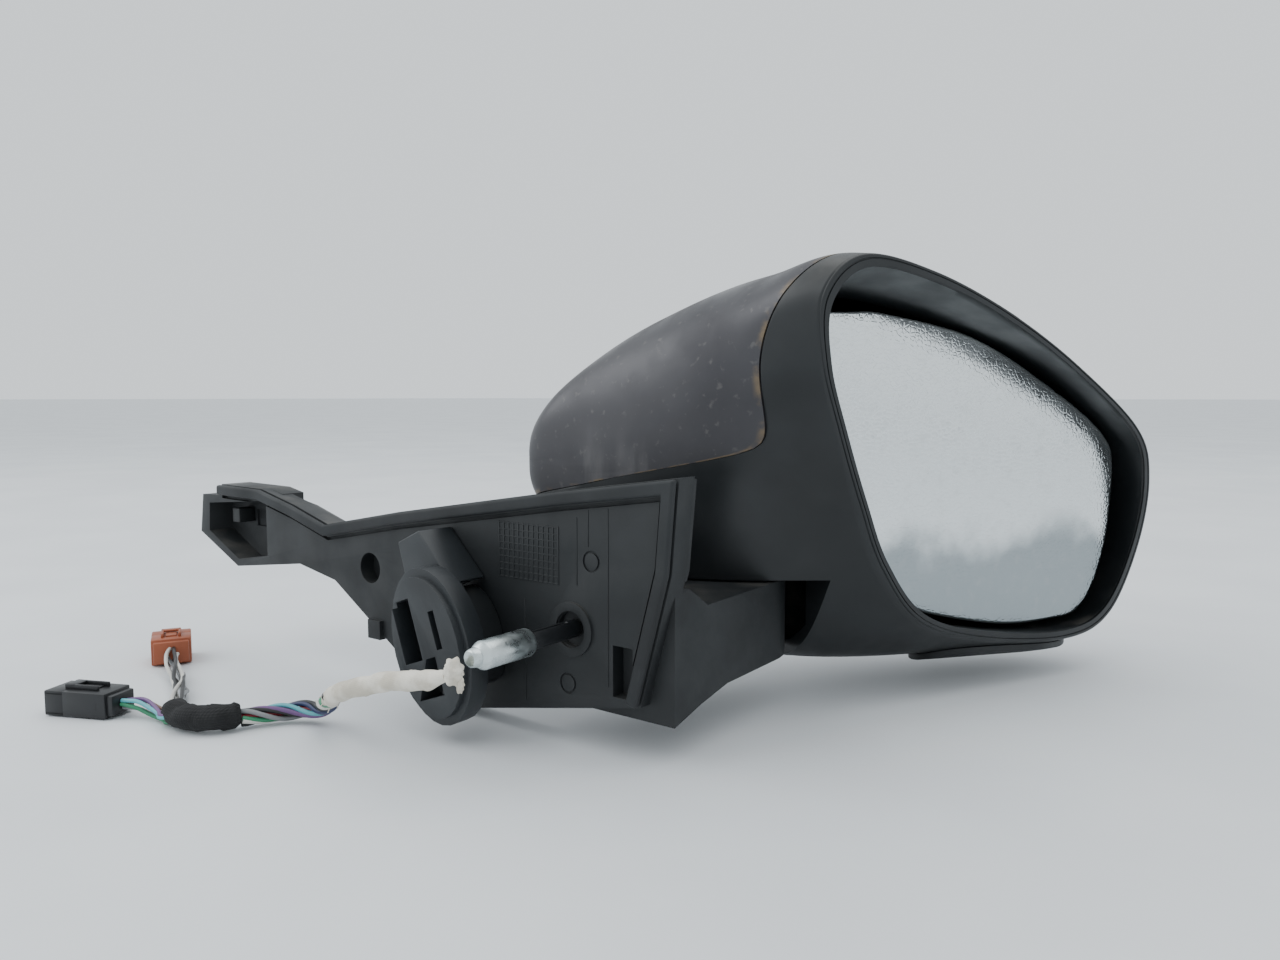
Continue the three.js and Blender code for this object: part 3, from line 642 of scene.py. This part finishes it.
def section_at(q):
    """The section numbers at one place q along the dome for every point of the rim."""
    q = np.clip(q, 0, NOSE)
    i = np.minimum(q.astype(int), NOSE - 1)
    t = (q - i)[:, None]
    padded = np.vstack([2 * SECTIONS[0] - SECTIONS[1], SECTIONS, 2 * SECTIONS[-1] - SECTIONS[-2]])
    before, start, end, after = (padded[i + k] for k in range(4))
    leave, reach = (end - before) / 2, (after - start) / 2
    return eased(t, start, leave, end, reach)


def shaped(sections, inset, push=0.0, hold=3):
    """One section. The sloped upper outboard edge keeps its straight line for longer, by the amount hold."""
    depth, inboard, outboard, bottom, top, roundness, lean = np.broadcast_to(sections, (len(rim), 7)).T
    swell = np.maximum(roundness, 0) ** (1 + hold * sloped**2 * (3 - 2 * sloped))
    u = rim_u + swell * (rim_u / fullness - rim_u)
    v = rim_v + swell * (rim_v / fullness - rim_v)
    x = (inboard + outboard) / 2 + u * np.maximum((outboard - inboard) / 2 - inset, 0.3)
    z = (bottom + top) / 2 + v * np.maximum((top - bottom) / 2 - inset, 0.3)
    return np.stack([x, depth - lean * (z - 55) + push, z], axis=1)


def dome(q, inset=0.0, push=0.0):
    q = np.full(len(rim), float(q)) if np.isscalar(q) else q
    return shaped(section_at(q), inset, push)


# %% [markdown]
# ## Where the cap ends
# The painted cap covers the front and top. Seen from the side its edge runs down just ahead of the rim, turns
# a rounded corner and then falls gently towards the nose. For every line that runs from rim to nose, the place
# where it crosses that edge is found once, and both the cap and the shell stop there.

# %% The seam
def inside_cap(points):
    """Above zero where the cap covers the dome, in millimetres from its edge."""
    y, z = points[:, 1], points[:, 2]
    rise = (z - 102 + np.sqrt((z - 102) ** 2 + 14**2)) / 2
    rear = y + 3 + (-34 + np.sqrt(34**2 + 44 * rise))
    lower = (z - 58 + (y - 10) * 0.2304) * 0.974
    return (rear + lower - np.sqrt((rear - lower) ** 2 + 60)) / 2


steps = np.linspace(0, NOSE, 1001)
cover = np.array([inside_cap(dome(q)) for q in steps])
seam = np.zeros(len(rim))
for i in range(len(rim)):
    outside = np.flatnonzero(cover[:, i] < 0)
    last = outside[-1] if len(outside) else 0
    low, high = cover[last, i], cover[min(last + 1, len(steps) - 1), i]
    seam[i] = steps[last] + (steps[1] - steps[0]) * (-low / max(high - low, 1e-9))
stride = np.linalg.norm(dome(seam + 0.01) - dome(seam), axis=1) / 0.01
print("seam from", round(float(seam.min()), 2), "to", round(float(seam.max()), 2), "of", NOSE)

# %% [markdown]
# ## Shell and cap
# The shell's wall is traced once for each line: from the rounded lip, out over the dome, down the step at the
# seam, on beneath the cap, and back along the inside to the recess in front of the glass. Every line gives a
# closed loop, so the shell is one closed skin. The place where the foot's shelf swings is then cut away.

# %% The head shell
def lip_rows():
    rows = []
    for turn in np.linspace(0, math.pi / 2, 5):
        rows.append(dome(0, 4 - 0.9 * (1 - math.cos(math.pi / 2 - turn)), 0.9 * (1 - math.sin(turn))))
    for inset, push in ((2.2, 0), (1.95, 0), (1.8, 0.45), (1.5, 0.45), (1.35, 0), (1.1, 0)):
        rows.append(dome(0, inset, push))
    for turn in np.linspace(0.15, math.pi / 2, 5):
        rows.append(dome(0, 0.8 * (1 - math.sin(turn)), 0.8 * (1 - math.cos(turn))))
    return rows


UNDER_CAP = 3.3  # how far the shell is set back beneath the cap
INSIDE = 5.6  # its inner face
rows = lip_rows()
near_seam = seam - 0.9 / stride
first = 0.09
for t in np.linspace(0, 1, 46):
    rows.append(dome(first + (near_seam - first) * t))
rows.append(dome(near_seam + 0.25 / stride, 0.12))
rows.append(dome(near_seam + 0.4 / stride, 0.5))
rows.append(dome(near_seam + 0.42 / stride, UNDER_CAP))
end = np.full(len(rim), 8.2)
for t in np.linspace(0.08, 1, 9):
    rows.append(dome(seam + (end - seam) * t, UNDER_CAP))
for t in np.linspace(0, 1, 12):
    rows.append(dome(end + (1.9 - end) * t, INSIDE))
INNER = np.array([12, -36, 156, -26, 126, 0.2, 0.05])
for t in np.linspace(0, 1, 12):
    rows.append(shaped(INNER + (SECTIONS[0] - INNER) * t * 0.955, 4, hold=0))
points = np.vstack(rows) * MM
faces = grid_faces(len(rows), len(rim), round_rows=True)
shell = new_piece("head_shell_fine", points, faces, smooth_angle=40)
shell.data.transform(HEAD_PLACE)
print("shell:", len(shell.data.polygons), "faces")

# %% The swing of the foot's shelf
def slab(name, outline, low, high, place=None):
    rings = [np.array([(x, y, z) for x, y in outline]) * MM for z in (low, high)]
    made = new_piece(name, np.vstack(rings), capped_skin(rings))
    if place is not None:
        made.data.transform(place)
    return made


def cut(piece, tool, operation="DIFFERENCE"):
    boolean = piece.modifiers.new("cut", "BOOLEAN")
    boolean.operation = operation
    boolean.solver = "MANIFOLD"
    boolean.object = tool
    baked(piece)
    return piece


def forget(piece):
    bpy.data.objects.remove(piece, do_unlink=True)


pivot = HEAD_PLACE.inverted() @ (Vector((34, 78, 0)) * MM) / MM
SHELF = 28.5  # half the width that the shelf sweeps
SHELF_TOP = 10.5
start_arm, end_arm = math.radians(-90), math.radians(-176)
outline = []
for a in np.linspace(math.radians(94), 0, 30):
    outline.append((pivot.x + SHELF * math.cos(a), pivot.y + SHELF * math.sin(a)))
for a in np.linspace(start_arm, end_arm, 12):
    across = a + math.pi / 2
    side = 1 - 2 * (start_arm - a) / (start_arm - end_arm)
    outline.append((pivot.x + 80 * math.cos(a) + side * SHELF * math.cos(across),
                    pivot.y + 80 * math.sin(a) + side * SHELF * math.sin(across)))
swing = slab("swing", outline, -60, SHELF_TOP, HEAD_PLACE)
cut(shell, swing)
forget(swing)
for polygon in shell.data.polygons:
    polygon.use_smooth = True
shell.data.set_sharp_from_angle(angle=math.radians(40))
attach(shell, "head")
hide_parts("head_shell")
dress(shell, SATIN_BLACK)
print("shell after the cut:", len(shell.data.polygons), "faces")

# %% The painted cap
CAP_WALL = 2.5
INNER_ROWS = 8
rows = []
for t in np.linspace(1, 0, INNER_ROWS):
    rows.append(dome(seam + 0.7 / stride + (9.4 - seam) * t, CAP_WALL))
for turn in np.linspace(0, math.pi / 2, 6):
    rows.append(dome(seam + (1 - math.sin(turn)) / stride * 0.6, 1 - math.sin(turn)))
reach = np.concatenate([np.linspace(0.004, 0.12, 12), np.linspace(0.15, 1, 48)])
start = seam + 0.6 / stride
for t in reach:
    rows.append(dome(start + (NOSE - start) * t))
points = np.vstack(rows) * MM
faces = capped_skin(rows)
cap = new_piece("painted_cap_fine", points, faces, smooth_angle=40)
edge = cap.data.attributes.new("from_edge", "FLOAT", "POINT")
FAR = 99.0  # stands for "nowhere near the seam" on the hidden inner face
seam_line = dome(seam)
gap_to_seam = np.concatenate([np.linalg.norm(row - seam_line, axis=1) if r >= INNER_ROWS
                              else np.full(len(rim), FAR) for r, row in enumerate(rows)])
edge.data.foreach_set("value", gap_to_seam.astype(np.float32))
cap.data.transform(HEAD_PLACE)
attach(cap, "head")
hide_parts("painted_cap")
print("cap:", len(cap.data.polygons), "faces")

# %% [markdown]
# ## Dusty paint
# The cap is dark grey metallic paint that has not been washed: soft pale runs where water dried, a fine
# sparkle, and a worn, dirty edge along the seam. The distance to the seam was stored on each point of the mesh
# above, so the dirt can follow the edge without any picture.

# %% Cap paint
CAP_PAINT, tree, shader = start_finish("cap_paint", tone(72, 71, 75), 0.4, 0.35)
skin = blended(tree, ranged(tree, noise_of(tree, 60, 6), 0.35, 0.7), tone(72, 71, 74), tone(58, 57, 61))
runs = product(tree, ranged(tree, noise_of(tree, 30, 5, (1.0, 1.0, 0.28), (25, 35, 0)), 0.5, 0.68),
               ranged(tree, noise_of(tree, 70, 3), 0.4, 0.62))
skin = blended(tree, ranged(tree, runs, 0, 1, 0, 0.5), skin, tone(130, 128, 128))
skin = blended(tree, ranged(tree, noise_of(tree, 3.2, 8), 0.6, 0.75, 0, 0.3), skin, tone(120, 117, 114))
stored = tree.nodes.new("ShaderNodeAttribute")
stored.attribute_name = "from_edge"
near = ranged(tree, stored.outputs["Fac"], 0.8, 3.4, 1, 0)
skin = blended(tree, product(tree, near, ranged(tree, noise_of(tree, 8, 7), 0.42, 0.6)), skin, tone(110, 96, 78))
tree.links.new(skin, shader.inputs["Base Color"])
tree.links.new(ranged(tree, noise_of(tree, 22, 6), 0.3, 0.7, 0.34, 0.58), shader.inputs["Roughness"])
bumped(tree, shader, noise_of(tree, 0.8, 3), 0.006)
dress(cap, CAP_PAINT)

# %% The cover under the head
def dome_solid(name, inset, rows_wanted=40):
    rings = [dome(q, inset) for q in np.linspace(0, 8.6, rows_wanted)]
    made = new_piece(name, np.vstack(rings) * MM, capped_skin(rings))
    made.data.transform(HEAD_PLACE)
    return made


turns = np.linspace(0, 2 * math.pi, 64, endpoint=False)
oval = [(90 + 42 * math.cos(a), 16 + 24 * math.sin(a)) for a in turns]
cover_piece = dome_solid("lower_cover_fine", -3.2)
column = slab("column", oval, -60, 0, HEAD_PLACE)
inner = dome_solid("inner", -0.4)
cut(cover_piece, column, "INTERSECT")
cut(cover_piece, inner)
forget(column)
forget(inner)
softened(cover_piece, 0.8)
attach(cover_piece, "head")
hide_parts("lower_cover")
dress(cover_piece, GRAINED_BLACK)
print("cover:", len(cover_piece.data.polygons), "faces")

# %% [markdown]
# ## The glass
# The mirror is a slightly bulging plate with a ground edge, carried on a black plastic backing. Its face has
# a fine pebbled film, which blurs what it reflects. The lower part of the face is painted darker: a painted
# reflection of the shaded floor close below the mirror.

# %% Mirror glass
GLASS = [(-85, 61), (-60, 67.5), (-38, 66), (-8, 60.5), (15, 52), (39, 39.5), (62, 26), (75, 15.5),
         (79.5, 7), (80, -8), (77.5, -32), (70.5, -52), (61, -62.5), (48, -65), (20, -65.3), (-14, -59),
         (-31, -52.5), (-47, -35), (-62, -10), (-76, 22)]
glass_line = closed_curve(GLASS, 12)
MIDDLE = np.array([2, 1])


def glass_row(inset, depth, share=None):
    away = glass_line - MIDDLE
    length = np.linalg.norm(away, axis=1)[:, None]
    kept = away * (share if share is not None else (length - inset) / length)
    return np.column_stack([kept[:, 0] + MIDDLE[0], np.full(len(kept), depth), kept[:, 1] + MIDDLE[1]])


BULGE = 1.0
SHARES = (0.01, 0.1, 0.25, 0.4, 0.55, 0.7, 0.82, 0.92)
rows = [glass_row(0, -BULGE * (1 - share**2) + 0.25, share) for share in SHARES]
rows += [glass_row(1.4, 0.1), glass_row(0.6, 0.18), glass_row(0.25, 0.35), glass_row(0, 0.7), glass_row(0, 2.1)]
rows += [glass_row(0, 2.1, 0.5)]
glass = new_piece("mirror_glass_fine", np.vstack(rows) * MM, capped_skin(rows), smooth_angle=50)
glass.data.transform(AIM_PLACE)
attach(glass, "glass")
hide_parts("mirror_glass")

MIRROR, tree, shader = start_finish("mirror_face", tone(232, 237, 238), 0.13, 1.0)
place = tree.nodes.new("ShaderNodeTexCoord")
split = tree.nodes.new("ShaderNodeSeparateXYZ")
tree.links.new(place.outputs["Object"], split.inputs["Vector"])
wobble = ranged(tree, noise_of(tree, 30, 4), 0.3, 0.7, -0.006, 0.006)
height = tree.nodes.new("ShaderNodeMath")
height.operation = "ADD"
tree.links.new(split.outputs["Z"], height.inputs[0])
tree.links.new(wobble, height.inputs[1])
# Painted reflection: below a wavy height the face colour is painted darker, standing in for the shaded floor it
# reflects.
painted_reflection_band = ranged(tree, height.outputs["Value"], 0.012, 0.03, 1, 0)
skin = blended(tree, painted_reflection_band, tone(232, 237, 238), tone(158, 166, 169))
skin = blended(tree, ranged(tree, noise_of(tree, 5, 8), 0.5, 0.8, 0, 0.2), skin, tone(184, 188, 188))
tree.links.new(skin, shader.inputs["Base Color"])
tree.links.new(ranged(tree, noise_of(tree, 12, 6), 0.3, 0.7, 0.1, 0.2), shader.inputs["Roughness"])
bumped(tree, shader, ranged(tree, cells_of(tree, 1.9, "DISTANCE_TO_EDGE"), 0, 0.22), 0.035)
bumped(tree, shader, noise_of(tree, 14, 2), 0.12)
dress(glass, MIRROR)
print("glass:", len(glass.data.polygons), "faces")

# %% [markdown]
# ## The foot
# The foot's main pieces are moulded slabs. Their shapes are already right in the frame, so each is copied, its
# flat faces are joined again, and its edges are rounded as a mould rounds them.

# %% Copies with rounded edges
def moulded_copy(node, name, material, width=0.5, segments=2):
    mesh = frame["nodes"][node].data.copy()
    shape = bmesh.new()
    shape.from_mesh(mesh)
    bmesh.ops.remove_doubles(shape, verts=shape.verts, dist=2e-6)
    bmesh.ops.dissolve_limit(shape, angle_limit=math.radians(0.6), verts=shape.verts, edges=shape.edges)
    shape.to_mesh(mesh)
    shape.free()
    mesh.name = name
    for layer in ("custom_normal", "sharp_edge"):
        if layer in mesh.attributes:
            mesh.attributes.remove(mesh.attributes[layer])
    piece = finish_mesh(name, mesh, BODY[node], 50)
    softened(piece, width, segments)
    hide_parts(node)
    dress(piece, material)
    return piece


moulded_copy("base_plate", "foot_plate", GRAINED_BLACK, 0.7, 3)
moulded_copy("outer_skin", "foot_skin", SATIN_BLACK, 0.9, 3)
moulded_copy("gasket_bead", "seal_bead", SEAL_RUBBER, 1.1, 4)
moulded_copy("strip_hook", "strip_hook_fine", GRAINED_BLACK, 0.4)
moulded_copy("clip_body", "clip_front", CLIP_BLACK, 0.6, 3)
moulded_copy("clip_stem", "clip_stem_fine", GRAINED_BLACK, 0.4)
moulded_copy("clip_blade", "clip_blade_fine", CLIP_BLACK, 0.6, 3)
print("foot slabs made")

# %% [markdown]
# ## Metals
# Zinc plating is bright but slightly cloudy, and plain steel is darker with fine turning marks.

# %% Metals
def metal(name, colour, second, rough, patch=9):
    return moulded(name, colour, second, rough, grain=0.5, depth=0.006, patch=patch, metal=1.0)


ZINC = metal("zinc_plate", tone(206, 214, 214), tone(180, 190, 190), 0.3, 6)
STEEL = metal("plain_steel", tone(150, 152, 154), tone(122, 124, 127), 0.36)


def turned(name, centre, profile, body, sides=48):
    """A turned piece on an axis along Y: pairs of distance along the axis and radius."""
    angles = 2 * np.pi * np.arange(sides) / sides
    rings = [np.column_stack([centre[0] + radius * np.cos(angles), np.full(sides, along),
                              centre[1] + radius * np.sin(angles)]) * MM for along, radius in profile]
    return new_piece(name, np.vstack(rings), capped_skin(rings), body, 35)


sleeve_profile = [(-22.7, 3.3), (-22.7, 4.4), (-23, 4.65), (-23.4, 4.8), (-43.2, 4.8), (-43.9, 4.6), (-44.3, 4.2),
                  (-45.6, 3.6), (-45.9, 3.1), (-46.2, 3.1), (-46.4, 3.3), (-48.4, 2.9), (-48.9, 2.5), (-49, 2.2)]
sleeve = turned("zinc_sleeve", (22, 0), sleeve_profile, "base")
dress(sleeve, ZINC)
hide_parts("stud_sleeve")
moulded_copy("stud_shaft", "stud_shaft_fine", SMOOTH_BLACK, 0.25)

# %% [markdown]
# ## Small relief on the foot
# A square of fine crossed ribs and a few mould lines break up the large flat faces. They are thin, separate
# pieces that sit on the plate.

# %% Relief on the plate
def plate_boxes():
    boxes = []
    for k in range(13):
        x = -14 + 2.45 * k
        boxes.append(((x, -0.28, 15), (x + 0.7, 0.2, 36)))
    for k in range(9):
        z = 15 + 2.54 * k
        boxes.append(((-14, -0.2, z), (16.1, 0.2, z + 0.6)))
    return boxes


ribs = rounded_boxes("plate_ribs", plate_boxes(), "base", 0.15)
dress(ribs, GRAINED_BLACK)
lines = rounded_boxes("mould_lines", [((24.2, -0.22, 16), (24.7, 0.2, 40)), ((29.5, -0.22, 30), (29.9, 0.2, 43)),
                                      ((38.2, -0.22, -18), (38.7, 0.2, 44)), ((-1, -0.22, -30), (-0.5, 0.2, 8))],
                      "base", 0.15)
dress(lines, GRAINED_BLACK)
print("relief made")

# %% [markdown]
# ## Hidden parts
# The pivot, the glass drive and the lead inside the head are seen only through gaps, but they get their real
# finishes all the same.

# %% Finishes of the carried-over parts
for node in ("pivot_spindle", "detent_ring", "fold_spring", "spring_washer", "spindle_collar", "yaw_motor",
             "pitch_motor", "drive_screw_1", "drive_screw_2"):
    dress(frame["nodes"][node], STEEL)
for node in ("gimbal_ring", "yaw_push_rod", "pitch_push_rod"):
    dress(frame["nodes"][node], WHITE_NYLON)
for node in ("head_chassis", "drive_housing"):
    dress(frame["nodes"][node], GRAINED_BLACK)
dress(frame["nodes"]["glass_carrier"], SMOOTH_BLACK)
dress(frame["nodes"]["heater_pad"], SMOOTH_BLACK)
dress(frame["nodes"]["inner_lead"], WIRES["grey"])

# %% [markdown]
# ## Floor and light
# A pale floor, a bright even sky and two broad soft lamps, as near a window on a dull day.

# %% Floor and light
REACH = 40  # metres, so that its far edge is close to the horizon
CORNERS = ((-1, -1), (1, -1), (1, 1), (-1, 1))
floor = new_piece("floor", [(x * REACH, y * REACH, FLOOR * MM - 0.0004) for x, y in CORNERS], [(0, 1, 2, 3)])
floor_finish, tree, shader = start_finish("pale_floor", tone(214, 217, 219), 0.6)
skin = blended(tree, ranged(tree, noise_of(tree, 120, 5), 0.3, 0.7), tone(226, 229, 231), tone(219, 222, 225))
tree.links.new(skin, shader.inputs["Base Color"])
dress(floor, floor_finish)

world = bpy.data.worlds.new("sky")
bpy.context.scene.world = world
world.use_nodes = True
sky = world.node_tree.nodes["Background"]
sky.inputs["Color"].default_value = tone(222, 228, 232)
sky.inputs["Strength"].default_value = 1.4


def lamp(name, place, aim, size, power, colour=(1, 1, 1)):
    data = bpy.data.lights.new(name, "AREA")
    data.shape = "RECTANGLE"
    data.size, data.size_y = size
    data.energy = power
    data.color = colour
    made = bpy.data.objects.new(name, data)
    made.location = place
    made.rotation_euler = (Vector(aim) - Vector(place)).to_track_quat("-Z", "Y").to_euler()
    bpy.context.scene.collection.objects.link(made)
    return made


lamp("window", (-0.9, -0.8, 1.1), (0, 0.05, 0.03), (1.4, 1.1), 12, (0.97, 0.99, 1.0))
lamp("ceiling", (0.3, 0.5, 1.7), (0.05, 0.1, 0), (1.8, 1.8), 12)
